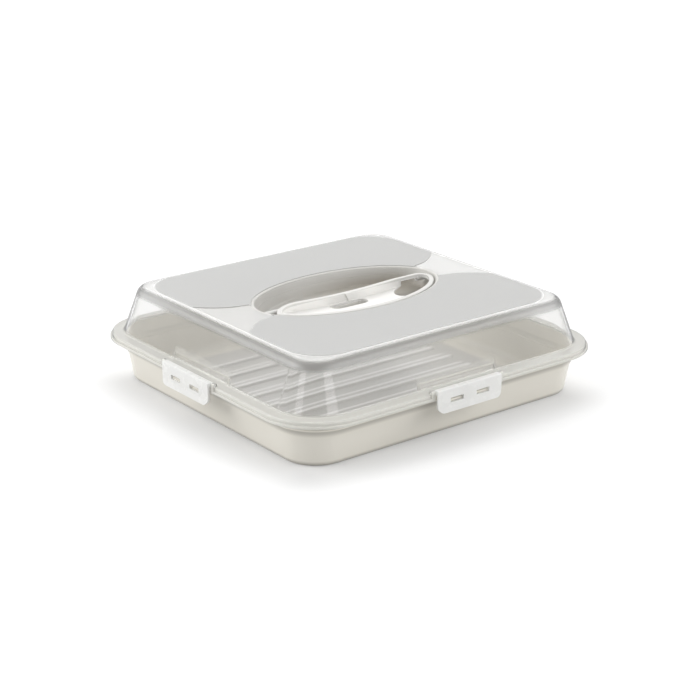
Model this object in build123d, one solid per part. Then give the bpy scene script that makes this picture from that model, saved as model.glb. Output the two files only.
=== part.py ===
from build123d import *
import os

# Low, square cake carrier: a ribbed tray, a clear dome lid whose skirt laps the tray's rim, a
# carrying handle that folds down into an oval pocket, and a clip at the middle of each side.
# Millimetres. The origin is under the middle of the tray, on the surface it stands on. +Z is up,
# X runs along the handle's hinge line and -Y is the front.

# ---- Driving dimensions ----
WIDTH = 360.0             # over the lid's lip, along X
DEPTH = 345.0             # over the lid's lip, along Y
CORNER = 54.0             # plan corner radius of the lid's lip

TRAY_HEIGHT = 46.0        # to the top of the tray's rim
TRAY_WALL = 2.2
TRAY_LEAN = 8.0           # how far the wall leans out from floor to rim
TRAY_FLOOR = 3.0
TRAY_BOTTOM_CORNER = 32.0
TRAY_FOOT_ROUND = 4.0     # outside edge under the wall
TRAY_FLOOR_ROUND = 6.0    # inside edge between floor and wall
RIM_WIDTH = 9.0           # from the wall out to the rim's edge
RIM_THICK = 1.8
RIM_TURN_DOWN = 3.2       # depth of the rim's turned-down edge
COLLAR_BOTTOM = 29.0      # height of the step in the wall
COLLAR_TOP = 34.6
COLLAR_PROUD = 1.0
BEAD_PROUD = 2.0
BEAD_HEIGHT = 1.6

RIB_PITCH = 28.7
RIB_COUNT = 8
RIB_WIDTH = 10.5
RIB_LENGTH = 240.0
RIB_HEIGHT = 1.8

LID_WALL = 1.6
LID_GAP = 0.3             # between the tray's rim and the lid resting over it
RIM_CLEARANCE = 0.8       # sideways, between the tray's rim and the lid's skirt
SKIRT_DROP = 6.0          # flange top down to the bottom of the skirt
SKIRT_ROUND = 1.5
LIP_PROUD = 1.8
LIP_HEIGHT = 2.6
LIP_ROUND = 0.8
FLANGE_WIDTH = 11.2       # skirt face in to the foot of the dome
DOME_HEIGHT = 44.0        # flange top up to the plateau
DOME_LEAN = 16.0
DOME_TOP_CORNER = 25.0
DOME_ROUND = 10.0
DOME_FOOT_ROUND = 2.0
PANEL_RISE = 0.5          # the two frosted panels stand this proud of the plateau
PANEL_MARGIN = 8.0
PANEL_CORNER = 36.0
FAN_INNER = 20.0          # half width of the clear fan where it leaves the pocket
FAN_OUTER = 56.0          # half width of the clear fan at the plateau's edge
FAN_INNER_SLOPE = 0.1     # how the fan's side leaves the pocket
FAN_OUTER_SLOPE = 1.3     # how it meets the plateau's edge

POCKET_LENGTH = 199.0     # oval pocket, along X
POCKET_WIDTH = 113.0
POCKET_DEPTH = 16.0
POCKET_DRAFT = 7.0        # how far the pocket narrows from mouth to floor
POCKET_RIM_ROUND = 1.6
POCKET_FLOOR_ROUND = 2.0
POCKET_RING = 1.0         # plain ring round the pocket, outside its rounded rim

HANDLE_GAP = 2.5          # between the pocket's mouth and the handle's curved edge
HANDLE_SINK = 1.0         # the handle's top below the plateau
HANDLE_RAIL = 4.6         # width of the curved and straight rails
HANDLE_RAIL_DEPTH = 3.2
HANDLE_DISH_DEPTH = 12.4
HANDLE_WALL = 2.4
HANDLE_BEHIND = 3.2       # hinge line back to the straight rail's back face
HANDLE_DIP = 2.0          # the straight rail dips this much in the middle
HANDLE_DIP_REACH = 60.0   # the dip starts this far to each side of the middle
HANDLE_CORNER = 12.0      # rounding where the curved rail meets the straight one, on the right
HANDLE_LEFT_SWEEP = 36.0  # radius with which the straight rail sweeps forward at its left end
HANDLE_LEFT_TURN = 36.6   # the sweep starts this far in from the curved rail's left tip
HANDLE_EDGE_ROUND = 1.0   # top edges of the rails
END_OPENING_LENGTH = 53.0 # finger opening in the dish's right-hand end
END_OPENING_WIDTH = 56.0
END_OPENING_FORWARD = 22.0  # hinge line to the opening's middle
GRIP_SLOT_LENGTH = 42.0
GRIP_SLOT_WIDTH = 14.0
GRIP_SLOT_ASIDE = 5.0     # from the handle's middle to the slot's, on the left
GRIP_NIB_WIDTH = 8.0      # pointed nib on the back wall, over the slot
GRIP_NIB_DROP = 8.0
GRIP_NIB_PROUD = 1.2

PIN_RADIUS = 2.4
PIN_DEPTH = 5.5           # below the plateau
PIN_REACH = 3.4           # how far a pin enters its socket
PIN_CLEARANCE = 0.06
PIN_END_GAP = 0.5
BOSS_WALL = 2.4
BOSS_LENGTH = 8.5

CLIP_WIDTH = 74.0
CLIP_DROP = 18.4          # hinge centre down to the clip's lower edge
CLIP_THICK = 2.0
CLIP_CLEARANCE = 0.8      # between the clip's back face and the lid's lip plane
CLIP_BARREL = 2.6         # radius
CLIP_PIN = 1.2            # radius
CLIP_PIN_REACH = 3.0
CLIP_SIDE_GAP = 0.5
CLIP_EAR = 3.8            # length of a hinge lug on the lid
CLIP_EAR_WALL = 1.1       # in front of a pin
CLIP_HINGE_RISE = 0.6     # hinge centre above the flange's top
CLIP_SHOULDER = 1.4       # rounding of the clip's top
CLIP_FLARE = 1.6          # how far the finger lip leans out
CLIP_FLARE_HEIGHT = 5.0
CLIP_CORNER = 7.0
CLIP_SLOT_LENGTH = 15.0
CLIP_SLOT_HEIGHT = 4.3
CLIP_SLOT_SPACING = 30.0
CLIP_SLOT_DROP = 8.4      # hinge centre down to the slots' middle
CATCH_HEIGHT = 3.6
CATCH_GAP = 0.4           # between a catch and the clip's back face
LEDGE_WIDTH = 86.0        # flat place in the dome's foot, behind a clip
LEDGE_INSET = 15.5        # from the lip in to the ledge's back

LEVEL_MATCH = 0.01        # how near a face or edge lies to a level that it is looked up by

# ---- Levels and insets that follow ----
FLANGE_Z = TRAY_HEIGHT + LID_GAP + LID_WALL
SKIRT_Z = FLANGE_Z - SKIRT_DROP
TOP_Z = FLANGE_Z + DOME_HEIGHT
PLATEAU_Z = TOP_Z - PANEL_RISE
POCKET_Z = TOP_Z - POCKET_DEPTH
SKIRT_INSET = LIP_PROUD
RIM_INSET = SKIRT_INSET + LID_WALL + RIM_CLEARANCE
WALL_INSET = RIM_INSET + RIM_WIDTH
FOOT_INSET = WALL_INSET + TRAY_LEAN
DOME_INSET = SKIRT_INSET + FLANGE_WIDTH
EDGE_INSET = DOME_INSET + DOME_LEAN
PIN_Z = TOP_Z - PIN_DEPTH
HANDLE_TOP = TOP_Z - HANDLE_SINK
HANDLE_A = POCKET_LENGTH / 2 - HANDLE_GAP
HANDLE_B = POCKET_WIDTH / 2 - HANDLE_GAP
CLIP_HINGE_Z = FLANGE_Z + CLIP_HINGE_RISE
CLIP_HINGE_INSET = CLIP_EAR_WALL + CLIP_PIN
NOTCH_WIDTH = CLIP_WIDTH + 2 * CLIP_SIDE_GAP


def plate(inset, corner, z):
    """A rounded rectangle at height z, a given inset inside the lid's lip."""
    return Pos(0, 0, z) * RectangleRounded(WIDTH - 2 * inset, DEPTH - 2 * inset, corner)


def slab(inset, z_low, z_high):
    """A straight-sided block whose corners are concentric with the lip's."""
    return extrude(plate(inset, CORNER - inset, z_low), amount=z_high - z_low)


def tapered(low, high):
    """A block between two plates, each given as (inset, corner, z)."""
    return loft([plate(*low), plate(*high)], ruled=True)


def oval(length, width, z):
    return Pos(0, 0, z) * Ellipse(length / 2, width / 2)


def at_sides():
    """Placements that carry a front-side feature to the front, right, back and left."""
    turns = {"front": (0, DEPTH), "right": (90, WIDTH), "back": (180, DEPTH), "left": (270, WIDTH)}
    for name, (angle, span) in turns.items():
        yield name, Rot(0, 0, angle) * Pos(0, -span / 2, 0)


# ---- Tray ----

def wall_inset(z):
    """Inset of the tray wall's outer face at height z."""
    return FOOT_INSET - TRAY_LEAN * z / TRAY_HEIGHT


def wall_corner(z):
    top_corner = CORNER - WALL_INSET
    return TRAY_BOTTOM_CORNER + (top_corner - TRAY_BOTTOM_CORNER) * z / TRAY_HEIGHT


def wall_band(proud, z_low, z_high):
    """A band round the tray that follows the wall's lean and stands proud of it."""
    low = (wall_inset(z_low) - proud, wall_corner(z_low) + proud, z_low)
    high = (wall_inset(z_high) - proud, wall_corner(z_high) + proud, z_high)
    return tapered(low, high)


def make_tray():
    body = wall_band(0, 0, TRAY_HEIGHT)
    body = fillet(body.faces().sort_by(Axis.Z)[0].edges(), TRAY_FOOT_ROUND)
    body += wall_band(COLLAR_PROUD, COLLAR_BOTTOM, TRAY_HEIGHT - RIM_THICK)
    body += wall_band(BEAD_PROUD, COLLAR_TOP, COLLAR_TOP + BEAD_HEIGHT)
    body += slab(RIM_INSET, TRAY_HEIGHT - RIM_THICK, TRAY_HEIGHT)
    turn_down = slab(RIM_INSET, TRAY_HEIGHT - RIM_TURN_DOWN, TRAY_HEIGHT)
    body += turn_down - slab(RIM_INSET + RIM_THICK, TRAY_HEIGHT - RIM_TURN_DOWN, TRAY_HEIGHT)
    for _, place in at_sides():
        body += place * make_catches()
    hollow = wall_band(-TRAY_WALL, TRAY_FLOOR, TRAY_HEIGHT)
    hollow = fillet(hollow.faces().sort_by(Axis.Z)[0].edges(), TRAY_FLOOR_ROUND)
    body -= hollow + wall_band(COLLAR_PROUD - TRAY_WALL, COLLAR_BOTTOM, TRAY_HEIGHT)
    for row in range(RIB_COUNT):
        body += Pos(0, (row - (RIB_COUNT - 1) / 2) * RIB_PITCH, TRAY_FLOOR) * make_rib()
    return body


def make_rib():
    """A low bar with sloping flanks that keeps the cake off the floor."""
    foot = SlotOverall(RIB_LENGTH, RIB_WIDTH)
    crown = Pos(0, 0, RIB_HEIGHT) * SlotOverall(RIB_LENGTH - 2 * RIB_HEIGHT, RIB_WIDTH - 2 * RIB_HEIGHT)
    return loft([foot, crown], ruled=True)


def make_catches():
    """Two wedges hanging from the rim that a clip's slots drop over."""
    middle = CLIP_HINGE_Z - CLIP_SLOT_DROP
    bottom = middle - CATCH_HEIGHT / 2
    shoulder = middle + CATCH_HEIGHT / 2
    nose = CATCH_GAP - CLIP_CLEARANCE
    root = RIM_INSET + RIM_THICK
    top = TRAY_HEIGHT - RIM_THICK
    nose_side = [(root, bottom), (nose, bottom), (nose, middle), (RIM_INSET, shoulder)]
    outline = Polyline(*nose_side, (RIM_INSET, top), (root, top), close=True)
    wedge = extrude(make_face(Plane.YZ * outline), amount=CLIP_SLOT_LENGTH / 2 - CATCH_GAP, both=True)
    half = CLIP_SLOT_SPACING / 2
    return Pos(-half, 0, 0) * wedge + Pos(half, 0, 0) * wedge


# ---- Lid ----

def dome_form(thick):
    """The dome as a solid, shrunk by a wall thickness."""
    foot = (DOME_INSET + thick, CORNER - DOME_INSET - thick, FLANGE_Z - thick)
    top = (EDGE_INSET + thick, DOME_TOP_CORNER - thick, PLATEAU_Z - thick)
    form = tapered(foot, top)
    form = fillet(form.faces().sort_by(Axis.Z)[-1].edges(), DOME_ROUND - thick)
    for _, place in at_sides():
        form -= place * ledge_form(thick)
    return form


def ledge_form(thick):
    """The block that flattens the dome's foot behind a clip."""
    block = Box(LEDGE_WIDTH + 2 * thick, LEDGE_INSET + thick, DOME_HEIGHT)
    return Pos(0, (LEDGE_INSET + thick) / 2, FLANGE_Z - thick + DOME_HEIGHT / 2) * block


def pocket_form(thick):
    """The pocket's hollow, grown by a wall thickness."""
    mouth = oval(POCKET_LENGTH + 2 * thick, POCKET_WIDTH + 2 * thick, TOP_Z)
    shrink = 2 * (thick - POCKET_DRAFT)
    bed = oval(POCKET_LENGTH + shrink, POCKET_WIDTH + shrink, POCKET_Z - thick)
    form = loft([bed, mouth], ruled=True)
    return fillet(form.faces().sort_by(Axis.Z)[0].edges(), POCKET_FLOOR_ROUND + thick)


def at_level(shapes, z):
    """The faces or edges whose middle lies at height z."""
    return shapes.filter_by_position(Axis.Z, z - LEVEL_MATCH, z + LEVEL_MATCH)


def panel_sketch():
    """Front and back panels: the plateau less the pocket's ring and the two clear fans."""
    margin = EDGE_INSET + PANEL_MARGIN
    field = RectangleRounded(WIDTH - 2 * margin, DEPTH - 2 * margin, PANEL_CORNER)
    ring = 2 * (POCKET_RIM_ROUND + POCKET_RING)
    field -= Ellipse((POCKET_LENGTH + ring) / 2, (POCKET_WIDTH + ring) / 2)
    start = POCKET_LENGTH / 2 - POCKET_RING
    end = WIDTH / 2 - EDGE_INSET
    slopes = [(1, FAN_INNER_SLOPE), (1, FAN_OUTER_SLOPE)]
    upper = Spline((start, FAN_INNER), (end, FAN_OUTER), tangents=slopes)
    lower = mirror(upper, Plane.XZ)
    ends = [Line((end, FAN_OUTER), (end, -FAN_OUTER)), Line((start, -FAN_INNER), (start, FAN_INNER))]
    fan = make_face([upper, lower] + ends)
    return field - fan - mirror(fan, Plane.YZ)


def make_boss():
    """A solid block behind the right-hand end of the pocket that takes one handle pin."""
    height = 2 * (PIN_RADIUS + BOSS_WALL)
    depth = PIN_DEPTH + height / 2
    tip = POCKET_LENGTH / 2 - POCKET_DRAFT / 2
    block = Box(BOSS_LENGTH + POCKET_DRAFT, height, depth)
    return Pos(tip + (BOSS_LENGTH - POCKET_DRAFT) / 2, 0, PLATEAU_Z - (LID_WALL + depth) / 2) * block


def pin_socket():
    """The blind round socket for the right-hand pin."""
    reach = HANDLE_A + PIN_REACH + HANDLE_GAP + PIN_END_GAP
    return Pos(0, 0, PIN_Z) * Rot(0, 90, 0) * Cylinder(
        PIN_RADIUS + PIN_CLEARANCE, reach, align=(Align.CENTER, Align.CENTER, Align.MIN)
    )


def make_ear():
    """The lug at the right-hand end of a clip's notch: a hinge block over the skirt's cut end."""
    under = FLANGE_Z - LID_WALL
    height = CLIP_HINGE_Z + CLIP_BARREL - under
    centre_x = NOTCH_WIDTH / 2 + CLIP_EAR / 2
    block = Pos(centre_x, CLIP_HINGE_INSET, under + height / 2) * Box(CLIP_EAR, 2 * CLIP_HINGE_INSET, height)
    block = fillet(block.edges().filter_by(Axis.X).sort_by(Axis.Z)[-2:], CLIP_HINGE_INSET - CLIP_EAR_WALL / 2)
    depth = SKIRT_INSET + LID_WALL
    skirt_end = Pos(centre_x, depth / 2, (SKIRT_Z + under) / 2) * Box(CLIP_EAR, depth, under - SKIRT_Z)
    return block + skirt_end


def ear_hole():
    hole = Cylinder(CLIP_PIN + PIN_CLEARANCE, CLIP_EAR * 2, align=(Align.CENTER, Align.CENTER, Align.MIN))
    return Pos(NOTCH_WIDTH / 2 - CLIP_EAR, CLIP_HINGE_INSET, CLIP_HINGE_Z) * Rot(0, 90, 0) * hole


def clip_notch():
    """The opening that a clip's barrel and flap sit in."""
    depth = CLIP_HINGE_INSET + CLIP_BARREL + CLIP_SIDE_GAP
    notch = Box(NOTCH_WIDTH, 2 * depth, 2 * SKIRT_DROP)
    return Pos(0, 0, FLANGE_Z) * notch


def make_lid():
    outside = slab(SKIRT_INSET, SKIRT_Z, FLANGE_Z)
    outside = fillet(outside.faces().sort_by(Axis.Z)[-1].edges(), SKIRT_ROUND)
    lip = slab(0, SKIRT_Z, SKIRT_Z + LIP_HEIGHT)
    outside += fillet(lip.faces().filter_by(Plane.XY).edges(), LIP_ROUND)
    outside += dome_form(0)
    flange = at_level(outside.faces(), FLANGE_Z)[0]
    outside = fillet(flange.inner_wires()[0].edges(), DOME_FOOT_ROUND)
    outside += extrude(Pos(0, 0, PLATEAU_Z) * panel_sketch(), amount=PANEL_RISE)
    outside -= slab(SKIRT_INSET + LID_WALL, SKIRT_Z, FLANGE_Z - LID_WALL)
    shell = outside - dome_form(LID_WALL)
    boss = make_boss()
    shell += pocket_form(LID_WALL) & dome_form(0)
    shell += boss + mirror(boss, Plane.YZ)
    shell -= pocket_form(0)
    mouth = at_level(shell.edges(), PLATEAU_Z).filter_by(lambda edge: edge.is_closed)
    shell = fillet(mouth, POCKET_RIM_ROUND)
    shell -= pin_socket() + mirror(pin_socket(), Plane.YZ)
    for _, place in at_sides():
        shell -= place * clip_notch()
        ear = make_ear()
        ears = ear + mirror(ear, Plane.YZ)
        shell += place * ears
        holes = ear_hole() + mirror(ear_hole(), Plane.YZ)
        shell -= place * holes
    return shell


# ---- Handle ----

def d_block(inset, depth):
    """The handle's D-shaped plan, drawn in from its outline, as a block hanging from its top."""
    back = HANDLE_BEHIND - inset
    sweep = HANDLE_LEFT_SWEEP - inset
    turn = HANDLE_LEFT_TURN - HANDLE_A
    oval_plan = Rot(0, 0, 90) * Ellipse(HANDLE_B - inset, HANDLE_A - inset)
    right_part = Pos(turn + HANDLE_A, back - HANDLE_B) * Rectangle(2 * HANDLE_A, 2 * HANDLE_B)
    front_part = Pos(0, back - sweep - HANDLE_B) * Rectangle(4 * HANDLE_A, 2 * HANDLE_B)
    plan = oval_plan & (right_part + front_part + Pos(turn, back - sweep) * Circle(sweep))
    block = extrude(Pos(0, 0, HANDLE_TOP - depth) * plan, amount=depth)
    right = block.edges().filter_by(Axis.Z).sort_by(Axis.Y)[-2:].sort_by(Axis.X)[-1]
    return fillet(right, HANDLE_CORNER - inset)


def dish_form(inset, depth):
    """A bowl hanging from the handle's top, deepest at the hinge line."""
    ball = scale(Rot(0, 90, 0) * Sphere(1), by=(HANDLE_A, HANDLE_B, depth))
    return (Pos(0, 0, HANDLE_TOP) * ball) & d_block(inset, POCKET_DEPTH)


def make_nib():
    """A pointed nib on the back wall's face, over the grip slot."""
    half = GRIP_NIB_WIDTH / 2
    low = HANDLE_TOP - HANDLE_DIP - GRIP_NIB_DROP
    outline = Polyline((-half, low + GRIP_NIB_DROP), (half, low + GRIP_NIB_DROP), (0, low), close=True)
    nib = extrude(make_face(Plane.XZ * outline), amount=GRIP_NIB_PROUD + HANDLE_RAIL / 2, dir=(0, -1, 0))
    return Pos(0, HANDLE_BEHIND - HANDLE_RAIL / 2, 0) * nib


def rail_dip():
    """What the straight rail's top loses where it dips in the middle."""
    left = (-HANDLE_DIP_REACH, HANDLE_TOP)
    right = (HANDLE_DIP_REACH, HANDLE_TOP)
    arc = ThreePointArc(left, (0, HANDLE_TOP - HANDLE_DIP), right)
    face = Plane.XZ * make_face([arc, Line(right, left)])
    return Pos(0, HANDLE_BEHIND, 0) * extrude(face, amount=HANDLE_RAIL + GRIP_NIB_PROUD, dir=(0, -1, 0))


def end_opening():
    """The finger opening through the dish's right-hand end."""
    plan = Ellipse(END_OPENING_LENGTH, END_OPENING_WIDTH / 2)
    return extrude(Pos(HANDLE_A, -END_OPENING_FORWARD, POCKET_Z) * plan, amount=POCKET_DEPTH)


def grip_slot():
    """The slot through the dish under the nib."""
    middle = HANDLE_BEHIND - HANDLE_RAIL - GRIP_NIB_PROUD - GRIP_SLOT_WIDTH / 2
    plan = Pos(-GRIP_SLOT_ASIDE, middle, POCKET_Z) * SlotOverall(GRIP_SLOT_LENGTH, GRIP_SLOT_WIDTH)
    return extrude(plan, amount=POCKET_DEPTH)


def make_pin(corner):
    """A right-hand hinge pin that starts inside the straight rail, where the corner's round ends."""
    reach = corner + HANDLE_GAP + PIN_REACH
    pin = Cylinder(PIN_RADIUS, reach, align=(Align.CENTER, Align.CENTER, Align.MIN))
    return Pos(HANDLE_A - corner, 0, PIN_Z) * Rot(0, 90, 0) * pin


def make_handle():
    outer = d_block(0, HANDLE_RAIL_DEPTH)
    outer = fillet(outer.faces().sort_by(Axis.Z)[-1].edges(), HANDLE_EDGE_ROUND)
    rails = outer - d_block(HANDLE_RAIL, HANDLE_RAIL_DEPTH)
    bowl = dish_form(HANDLE_RAIL / 2, HANDLE_DISH_DEPTH)
    dish = bowl - dish_form(HANDLE_RAIL, HANDLE_DISH_DEPTH - HANDLE_WALL) - end_opening()
    body = rails + dish - grip_slot() + make_nib() - rail_dip()
    return body + make_pin(HANDLE_CORNER) + mirror(make_pin(HANDLE_LEFT_TURN), Plane.YZ)


# ---- Clip ----

def make_clip():
    """A front-side clip, with y measured in from the plane of the lid's lip."""
    back = -CLIP_CLEARANCE
    front = back - CLIP_THICK
    bottom = CLIP_HINGE_Z - CLIP_DROP
    crease = bottom + CLIP_FLARE_HEIGHT
    top = CLIP_HINGE_Z + CLIP_BARREL
    outside = [(CLIP_HINGE_INSET, top), (front, top), (front, crease), (front - CLIP_FLARE, bottom)]
    inside = [(back - CLIP_FLARE, bottom), (back, crease), (back, CLIP_HINGE_Z)]
    outline = Polyline(*outside, *inside, (CLIP_HINGE_INSET, CLIP_HINGE_Z), close=True)
    flap = extrude(make_face(Plane.YZ * outline), amount=CLIP_WIDTH / 2, both=True)
    shoulder = flap.edges().filter_by(Axis.X).sort_by(Axis.Z)[-2:].sort_by(Axis.Y)[0]
    flap = fillet(shoulder, CLIP_SHOULDER)
    barrel = Pos(0, CLIP_HINGE_INSET, CLIP_HINGE_Z) * Rot(0, 90, 0) * Cylinder(CLIP_BARREL, CLIP_WIDTH)
    height = top - bottom
    face = Plane.XZ * Pos(0, top) * RectangleRounded(CLIP_WIDTH, 2 * height, CLIP_CORNER)
    clip = (flap + barrel) & extrude(face, amount=CLIP_DROP, both=True)
    slot = Box(CLIP_SLOT_LENGTH, 6 * CLIP_THICK, CLIP_SLOT_HEIGHT)
    for side in (-1, 1):
        clip -= Pos(side * CLIP_SLOT_SPACING / 2, front, CLIP_HINGE_Z - CLIP_SLOT_DROP) * slot
    pin = Cylinder(CLIP_PIN, CLIP_WIDTH + 2 * (CLIP_SIDE_GAP + CLIP_PIN_REACH))
    return clip + Pos(0, CLIP_HINGE_INSET, CLIP_HINGE_Z) * Rot(0, 90, 0) * pin


# ---- Write one file per piece ----

nodes = {"tray": make_tray(), "lid": make_lid(), "handle": make_handle()}
for side, place in at_sides():
    nodes[f"clip_{side}"] = place * make_clip()

os.makedirs("parts", exist_ok=True)
for node, shape in nodes.items():
    export_step(shape, f"parts/{node}.step")
    print(node, len(shape.solids()), shape.is_valid, round(shape.volume))
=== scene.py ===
import bmesh
import bpy
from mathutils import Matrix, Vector

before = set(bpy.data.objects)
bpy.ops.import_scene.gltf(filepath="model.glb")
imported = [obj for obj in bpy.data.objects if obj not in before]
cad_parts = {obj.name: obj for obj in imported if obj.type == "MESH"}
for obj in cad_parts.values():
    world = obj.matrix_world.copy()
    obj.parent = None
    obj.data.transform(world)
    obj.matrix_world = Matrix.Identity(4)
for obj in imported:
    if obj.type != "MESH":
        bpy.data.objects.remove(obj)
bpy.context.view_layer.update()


# ---- Camera ----
# A long lens looks down at the corner between the front and the left side. Colours are shown as
# they are written.

camera_at = Vector((-0.93409, -1.20047, 0.58101))
camera_aim = Vector((-0.02101, -0.03143, 0.045))
lens = bpy.data.cameras.new("camera")
lens.lens = 87.35
lens.sensor_width = 36
camera = bpy.data.objects.new("camera", lens)
camera.location = camera_at
camera.rotation_euler = (camera_aim - camera_at).to_track_quat("-Z", "Y").to_euler()
bpy.context.scene.collection.objects.link(camera)
bpy.context.scene.camera = camera
bpy.context.scene.view_settings.view_transform = "Standard"


# ---- Tray ----
# A low square tray with a stepped rim and eight ribs on its floor, injection moulded in cream
# polypropylene. The skin is satin, slightly cloudy in colour, with a very fine moulded grain.

class Wire:
    """An output socket. Arithmetic on it adds Math nodes to the finish it belongs to."""

    def __init__(self, finish, socket):
        self.finish = finish
        self.socket = socket

    def math(self, operation, *values):
        return self.finish.node("ShaderNodeMath", {"operation": operation}, dict(enumerate(values)))

    def __add__(self, other):
        return self.math("ADD", self, other)

    __radd__ = __add__

    def __sub__(self, other):
        return self.math("SUBTRACT", self, other)

    def __rsub__(self, other):
        return self.math("SUBTRACT", other, self)

    def __mul__(self, other):
        return self.math("MULTIPLY", self, other)

    __rmul__ = __mul__

    def either(self, other):
        """The larger of two masks."""
        return self.math("MAXIMUM", self, other)

    def size(self):
        return self.math("ABSOLUTE", self)

    def root(self):
        return self.math("SQRT", self)

    def left_over(self, step):
        return self.math("FLOORED_MODULO", self, step)

    def ramp(self, start, end):
        """0 up to start, 1 from end on, and a smooth change between."""
        ends = {"Value": self, "From Min": start, "From Max": end}
        return self.finish.node("ShaderNodeMapRange", {"interpolation_type": "SMOOTHSTEP"}, ends)

    def fall(self, start, end):
        """1 up to start, 0 from end on, and a smooth change between."""
        return 1 - self.ramp(start, end)

    def stripe(self, middle, core, edge):
        """1 within core of the middle, 0 from edge on."""
        return (self - middle).size().fall(core, edge)


class Finish:
    """The node tree of a material or of the world."""

    def __init__(self, owner):
        self.owner = owner
        owner.use_nodes = True
        self.tree = owner.node_tree
        self.tree.nodes.clear()

    def node(self, kind, settings=None, sockets=None, output=0):
        """Add a node, with its settings first and then its sockets' values and links."""
        made = self.tree.nodes.new(kind)
        for name, value in (settings or {}).items():
            setattr(made, name, value)
        for key, value in (sockets or {}).items():
            if isinstance(value, Wire):
                self.tree.links.new(value.socket, made.inputs[key])
            else:
                made.inputs[key].default_value = value
        return Wire(self, made.outputs[output])

    def place(self):
        """Where a point lies on the object, in metres."""
        return self.node("ShaderNodeTexCoord", output="Object")

    def axes(self):
        split = "ShaderNodeSeparateXYZ"
        return (self.node(split, None, {"Vector": self.place()}, axis) for axis in "XYZ")

    def noise(self, scale, detail=2.0):
        sockets = {"Vector": self.place(), "Scale": scale, "Detail": detail}
        return self.node("ShaderNodeTexNoise", None, sockets)

    def between(self, share, first, second):
        """The first colour where share is 0 and the second where it is 1."""
        sockets = {0: share, 6: first, 7: second}
        return self.node("ShaderNodeMix", {"data_type": "RGBA"}, sockets, 2)

    def bumps(self, height, depth):
        """A normal for a surface that height raises by up to depth, in metres."""
        return self.node("ShaderNodeBump", None, {"Height": height, "Distance": depth})

    def plastic(self, **sockets):
        names = {name.replace("_", " "): value for name, value in sockets.items()}
        return self.node("ShaderNodeBsdfPrincipled", None, names)

    def blend(self, share, first, second):
        """The first shader where share is 0 and the second where it is 1."""
        return self.node("ShaderNodeMixShader", None, {0: share, 1: first, 2: second})

    def clear_to(self, colour):
        return self.node("ShaderNodeBsdfTransparent", None, {"Color": colour})

    def ray_is(self, kind):
        return self.node("ShaderNodeLightPath", output=f"Is {kind} Ray")

    def end(self, shader, kind="ShaderNodeOutputMaterial"):
        self.tree.links.new(shader.socket, self.tree.nodes.new(kind).inputs["Surface"])


def dress(name, finish):
    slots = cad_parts[name].data.materials
    slots.clear()
    slots.append(finish.owner)


def beyond(across, along, half_width, half_depth):
    """How far a point lies outside an upright rectangular box, and 0 inside it."""
    past_side = (across.size() - half_width).either(0.0)
    past_end = (along.size() - half_depth).either(0.0)
    return (past_side * past_side + past_end * past_end).root()


def cream_skin(finish, light, deep, roughness, paint_light):
    """Satin polypropylene: cloudy colour with painted shade and highlights laid on by the given
    function, uneven gloss and a fine moulded grain.
    """
    cloudy = finish.between(finish.noise(14.0, 3.0).ramp(0.3, 0.7), light, deep)
    return finish.plastic(
        Base_Color=paint_light(cloudy),
        Roughness=roughness + 0.06 * finish.noise(60.0, 4.0),
        IOR=1.49,
        Normal=finish.bumps(finish.noise(1600.0), 0.00003),
    )


cream_light = (0.81, 0.782, 0.71, 1)
cream_deep = (0.79, 0.762, 0.69, 1)
# Painted shade and highlights: a darker tone outside below the bead and at the foot, a grey floor
# and darker rib flanks stand for shade, and pale rib crowns and lines beside them stand for
# highlights.
bead_and_foot_painted_shade = (0.47, 0.45, 0.40, 1)
floor_painted_shade = (0.58, 0.565, 0.54, 1)
crown_painted_highlight = (0.97, 0.96, 0.945, 1)
flank_painted_shade = (0.44, 0.42, 0.395, 1)
foot_half_width = 0.1588
foot_half_depth = 0.1513
foot_corner = 0.032
lean_per_rise = 0.174
rib_pitch = 0.0287

tray = Finish(bpy.data.materials.new("cream_plastic"))
across, along, level = tray.axes()

# Where each part of the tray is, from 0 to 1.
from_core = beyond(across, along, foot_half_width - foot_corner, foot_half_depth - foot_corner)
outside = (from_core - level * lean_per_rise).ramp(foot_corner - 0.0014, foot_corner - 0.0008)
under_bead = level.ramp(0.0280, 0.0335) * level.fall(0.0346, 0.0350)
foot = level.fall(0.0014, 0.0055)
inside = across.size().fall(0.132, 0.142) * along.size().fall(0.125, 0.135)
inside = inside * level.fall(0.0055, 0.010) * level.ramp(0.002, 0.0028)
ribbed = inside * across.size().fall(0.112, 0.120) * along.size().fall(0.106, 0.110)
past_rib = along.left_over(rib_pitch) - rib_pitch / 2
crown = past_rib.stripe(-0.0016, 0.0008, 0.0026)
beside = past_rib.stripe(0.0100, 0.0006, 0.0020)
flank = past_rib.stripe(0.0042, 0.0004, 0.0020)


def tray_painted_light(tone):
    """Painted shade below the bead, at the foot, on the floor and on the ribs' flanks, and painted
    highlights on the ribs' crowns and beside them.
    """
    tone = tray.between(outside * (0.85 * under_bead).either(0.9 * foot), tone, bead_and_foot_painted_shade)
    tone = tray.between(inside, tone, floor_painted_shade)
    tone = tray.between(ribbed * crown.either(0.9 * beside), tone, crown_painted_highlight)
    return tray.between(ribbed * flank, tone, flank_painted_shade)


tray.end(cream_skin(tray, cream_light, cream_deep, 0.22, tray_painted_light))
dress("tray", tray)


# ---- Lid ----
# A thin dome with a skirt that laps the tray's rim, moulded in see-through polypropylene. The
# walls are slightly hazy, the skirt, ledges and lugs are milky, the oval pocket is matt, and the
# two raised panels on top are frosted.

flange_top = 0.0479
plateau_top = 0.0914
panel_half_width = 0.143
panel_half_depth = 0.1355
panel_corner = 0.036
oval_half_length = 0.1
oval_half_width = 0.05661

lid = Finish(bpy.data.materials.new("clear_plastic"))
across, along, level = lid.axes()

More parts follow.
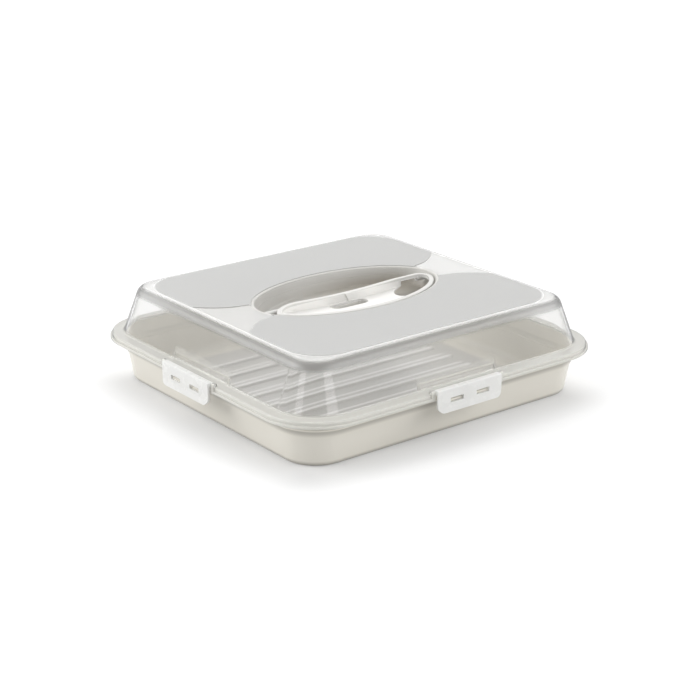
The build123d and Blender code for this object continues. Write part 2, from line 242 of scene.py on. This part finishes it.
# Where each part of the lid is, from 0 to 1.
panel = level.ramp(plateau_top + 0.0001, plateau_top + 0.0003)
plateau = level.ramp(plateau_top - 0.0008, plateau_top - 0.0003) * (1 - panel)
under_edge = level.ramp(0.081, 0.086) * level.fall(plateau_top - 0.0021, plateau_top - 0.0004)
panel_core = (panel_half_width - panel_corner, panel_half_depth - panel_corner)
past_panel = beyond(across, along, *panel_core) - panel_corner
# A pale band just outside the panels' edge is a painted highlight.
edge_highlight = past_panel.ramp(-0.0003, 0.0) * past_panel.fall(0.0016, 0.0022)
edge_highlight = edge_highlight * level.ramp(plateau_top - 0.0009, plateau_top - 0.0002)
in_oval = across * across * oval_half_length ** -2 + along * along * oval_half_width ** -2
pocket = in_oval.fall(1.0, 1.08) * level.ramp(0.070, 0.072)
pocket_shade = across.ramp(-0.09, 0.07) * level.fall(0.078, 0.091)
skirt = level.fall(flange_top - 0.0001, flange_top + 0.0016)
flange = level.ramp(flange_top - 0.0014, flange_top)
front_ledge = across.size().fall(0.043, 0.048) * along.size().ramp(0.140, 0.146)
side_ledge = along.size().fall(0.043, 0.048) * across.size().ramp(0.148, 0.154)
ledge = front_ledge.either(side_ledge) * level.fall(0.055, 0.062)
lugs = across.size().ramp(0.1784, 0.1792).either(along.size().ramp(0.1709, 0.1717))

# Where a clear wall turns away from the eye, a dark matt grey is mixed in: painted shade for its
# dark outline.
turned_away = lid.node("ShaderNodeLayerWeight", None, {"Blend": 0.5}, "Facing").ramp(0.57, 0.86)
turned_away = turned_away * level.fall(plateau_top - 0.0009, plateau_top - 0.0001)

# What each part looks like.
# The rounding under the plateau's edge is painted darker, as shade, and the plateau is a little
# grey.
edge_shade_and_top_grey = under_edge.either(0.12 * plateau)
clear = lid.plastic(
    Base_Color=lid.between(edge_shade_and_top_grey, (0.997, 0.997, 0.994, 1), (0.50, 0.50, 0.495, 1)),
    Roughness=0.06 + 0.3 * under_edge,
    IOR=1.49,
    Transmission_Weight=1.0,
    Normal=lid.bumps(lid.noise(9.0, 1.0), 0.0006),
)
haze = lid.plastic(Base_Color=(0.88, 0.88, 0.87, 1), Roughness=0.35, IOR=1.49)
milk = lid.plastic(
    Base_Color=(0.76, 0.75, 0.70, 1), Roughness=0.3, IOR=1.49, Transmission_Weight=0.25,
)
# A dark matt grey, the painted shade of the walls' outline.
edge_on_shade = lid.plastic(Base_Color=(0.28, 0.28, 0.28, 1), Roughness=0.5, Specular_IOR_Level=0.0)
matt_pocket = lid.plastic(
    Base_Color=lid.between(pocket_shade, (0.62, 0.605, 0.57, 1), (0.36, 0.33, 0.28, 1)),
    Roughness=0.4,
    IOR=1.49,
)
frost = lid.plastic(
    Base_Color=(0.475, 0.475, 0.465, 1),
    Roughness=0.34,
    IOR=1.49,
    Transmission_Weight=0.15,
    Normal=lid.bumps(lid.noise(2600.0), 0.00008),
)
# A pale plastic for the painted highlight along the panels' edge.
painted_edge_highlight = lid.plastic(Base_Color=(0.93, 0.93, 0.92, 1), Roughness=0.3, IOR=1.49)

walls = lid.blend(0.035 + 0.02 * lid.noise(30.0) + 0.3 * plateau, clear, haze)
milky = (skirt * (0.9 - 0.4 * flange)).either(0.25 * ledge).either(0.9 * lugs)
walls = lid.blend(milky, walls, milk)
walls = lid.blend(turned_away * 0.85, walls, edge_on_shade)
walls = lid.blend(pocket * 0.8, walls, matt_pocket)
body = lid.blend(edge_highlight * 0.5, lid.blend(panel, walls, frost), painted_edge_highlight)

# Light for the pieces below passes the clear walls nearly whole, and the panels and pocket in part.
thin = lid.clear_to((0.98, 0.98, 0.977, 1))
dense = lid.clear_to((0.59, 0.59, 0.585, 1))
let_through = lid.blend(panel.either(pocket).either(skirt * 0.35), thin, dense)
lid.end(lid.blend(lid.ray_is("Shadow").either(lid.ray_is("Diffuse")), body, let_through))
dress("lid", lid)


# ---- Handle ----
# A D-shaped carrying handle with a straight rail, a curved rail and a dished web between them,
# moulded in a lighter cream. Its two pins are sprung into sockets in the lid's pocket.

handle_light = (0.88, 0.87, 0.845, 1)
handle_deep = (0.86, 0.85, 0.825, 1)
# The rails' tops are painted darker, as shade.
rail_top_painted_shade = (0.70, 0.69, 0.665, 1)

handle = Finish(bpy.data.materials.new("handle_plastic"))
*_, level = handle.axes()
rail_top = level.ramp(0.0882, 0.0892)


def shade_rail_tops(tone):
    """Painted shade: the tops of the rails are darker than the web."""
    return handle.between(rail_top, tone, rail_top_painted_shade)


handle.end(cream_skin(handle, handle_light, handle_deep, 0.45, shade_rail_tops))
dress("handle", handle)


# ---- Clips ----
# Four flat clips that hang from lugs on the lid and snap under the tray's rim, moulded in milky
# polypropylene that lets some light through.

clip_light = (0.96, 0.96, 0.945, 1)
clip_deep = (0.93, 0.93, 0.915, 1)

clip = Finish(bpy.data.materials.new("milky_plastic"))
skin = clip.plastic(
    Base_Color=clip.between(clip.noise(40.0).ramp(0.3, 0.7), clip_light, clip_deep),
    Roughness=0.22 + 0.1 * clip.noise(90.0),
    IOR=1.49,
    Normal=clip.bumps(clip.noise(1500.0), 0.00004),
)
through = clip.node("ShaderNodeBsdfTranslucent", None, {"Color": (0.92, 0.92, 0.90, 1)})
clip.end(clip.blend(0.25, skin, through))
for side in ("front", "right", "back", "left"):
    dress(f"clip_{side}", clip)


# ---- Floor, lamps and world ----
# A white floor without a horizon and a large soft lamp above and behind. Two narrow boxes light
# the near corner, two fills light the sides, and a low card behind shines in the lid's top.

floor_half = 6.0
toward_corner = 0.014

ground = bmesh.new()
bmesh.ops.create_grid(ground, x_segments=1, y_segments=1, size=floor_half)
sheet = bpy.data.meshes.new("floor")
ground.to_mesh(sheet)
ground.free()
floor = bpy.data.objects.new("floor", sheet)
bpy.context.scene.collection.objects.link(floor)

# The paper glows, so that it looks white far away. Close round the tray, and more towards the near
# corner, it glows weakly: painted shadow on the paper. It lights the pieces as plain matt paper.
paper = Finish(bpy.data.materials.new("floor_paper"))
across, along, _ = paper.axes()
from_tray = beyond(across + toward_corner, along + toward_corner, 0.148, 0.141)
glow_and_painted_shadow = paper.between(from_tray.ramp(-0.01, 0.055), (0.18, 0.18, 0.18, 1), (0.40, 0.40, 0.40, 1))
glow_and_painted_shadow = paper.between(from_tray.ramp(0.4, 3.0), glow_and_painted_shadow, (1, 1, 1, 1))
glow = paper.plastic(
    Base_Color=(0.62, 0.62, 0.62, 1),
    Roughness=0.9,
    Specular_IOR_Level=0.0,
    Emission_Color=glow_and_painted_shadow,
    Emission_Strength=1.0,
)
matt = paper.plastic(Base_Color=(0.65, 0.65, 0.65, 1), Roughness=0.9, Specular_IOR_Level=0.0)
seen = paper.ray_is("Camera").either(paper.ray_is("Glossy")).either(paper.ray_is("Transmission"))
paper.end(paper.blend(seen, matt, glow))
sheet.materials.append(paper.owner)

# The room is light grey, and darker on the side of the near corner.
room_light = (0.60, 0.60, 0.60, 1)
room_dark = (0.20, 0.20, 0.20, 1)
near_side = (-0.61, -0.79, 0.1)

world = bpy.data.worlds.new("world")
bpy.context.scene.world = world
sky = Finish(world)
direction = sky.node("ShaderNodeTexCoord", output="Generated")
dot = {"operation": "DOT_PRODUCT"}
nearness = sky.node("ShaderNodeVectorMath", dot, {0: direction, 1: near_side}, "Value")
shade = sky.between(nearness.ramp(-0.1, 0.9), room_light, room_dark)
sky.end(sky.node("ShaderNodeBackground", None, {"Color": shade}), "ShaderNodeOutputWorld")


def soft_lamp(name, at, aim, width, height, power):
    lamp = bpy.data.lights.new(name, "AREA")
    lamp.shape = "RECTANGLE"
    lamp.size = width
    lamp.size_y = height
    lamp.energy = power
    holder = bpy.data.objects.new(name, lamp)
    holder.location = at
    holder.rotation_euler = (Vector(aim) - Vector(at)).to_track_quat("-Z", "Y").to_euler()
    bpy.context.scene.collection.objects.link(holder)


soft_lamp("key_lamp", (0.7, 0.95, 1.5), (0, 0, 0.05), 1.7, 1.7, 12.0)
soft_lamp("left_box", (-1.51, -0.34, 0.55), (0, 0, 0.06), 0.5, 0.9, 2.4)
soft_lamp("right_box", (0.0, -1.54, 0.55), (0, 0, 0.06), 0.75, 0.9, 4.0)
soft_lamp("left_fill", (-1.15, 0.65, 0.80), (0, 0, 0.05), 1.2, 0.8, 12.5)
soft_lamp("right_fill", (0.85, -1.10, 0.85), (0, 0, 0.05), 1.2, 0.8, 9.4)
soft_lamp("back_card", (1.20, 1.60, 0.80), (0, 0, 0.09), 1.5, 0.9, 3.2)
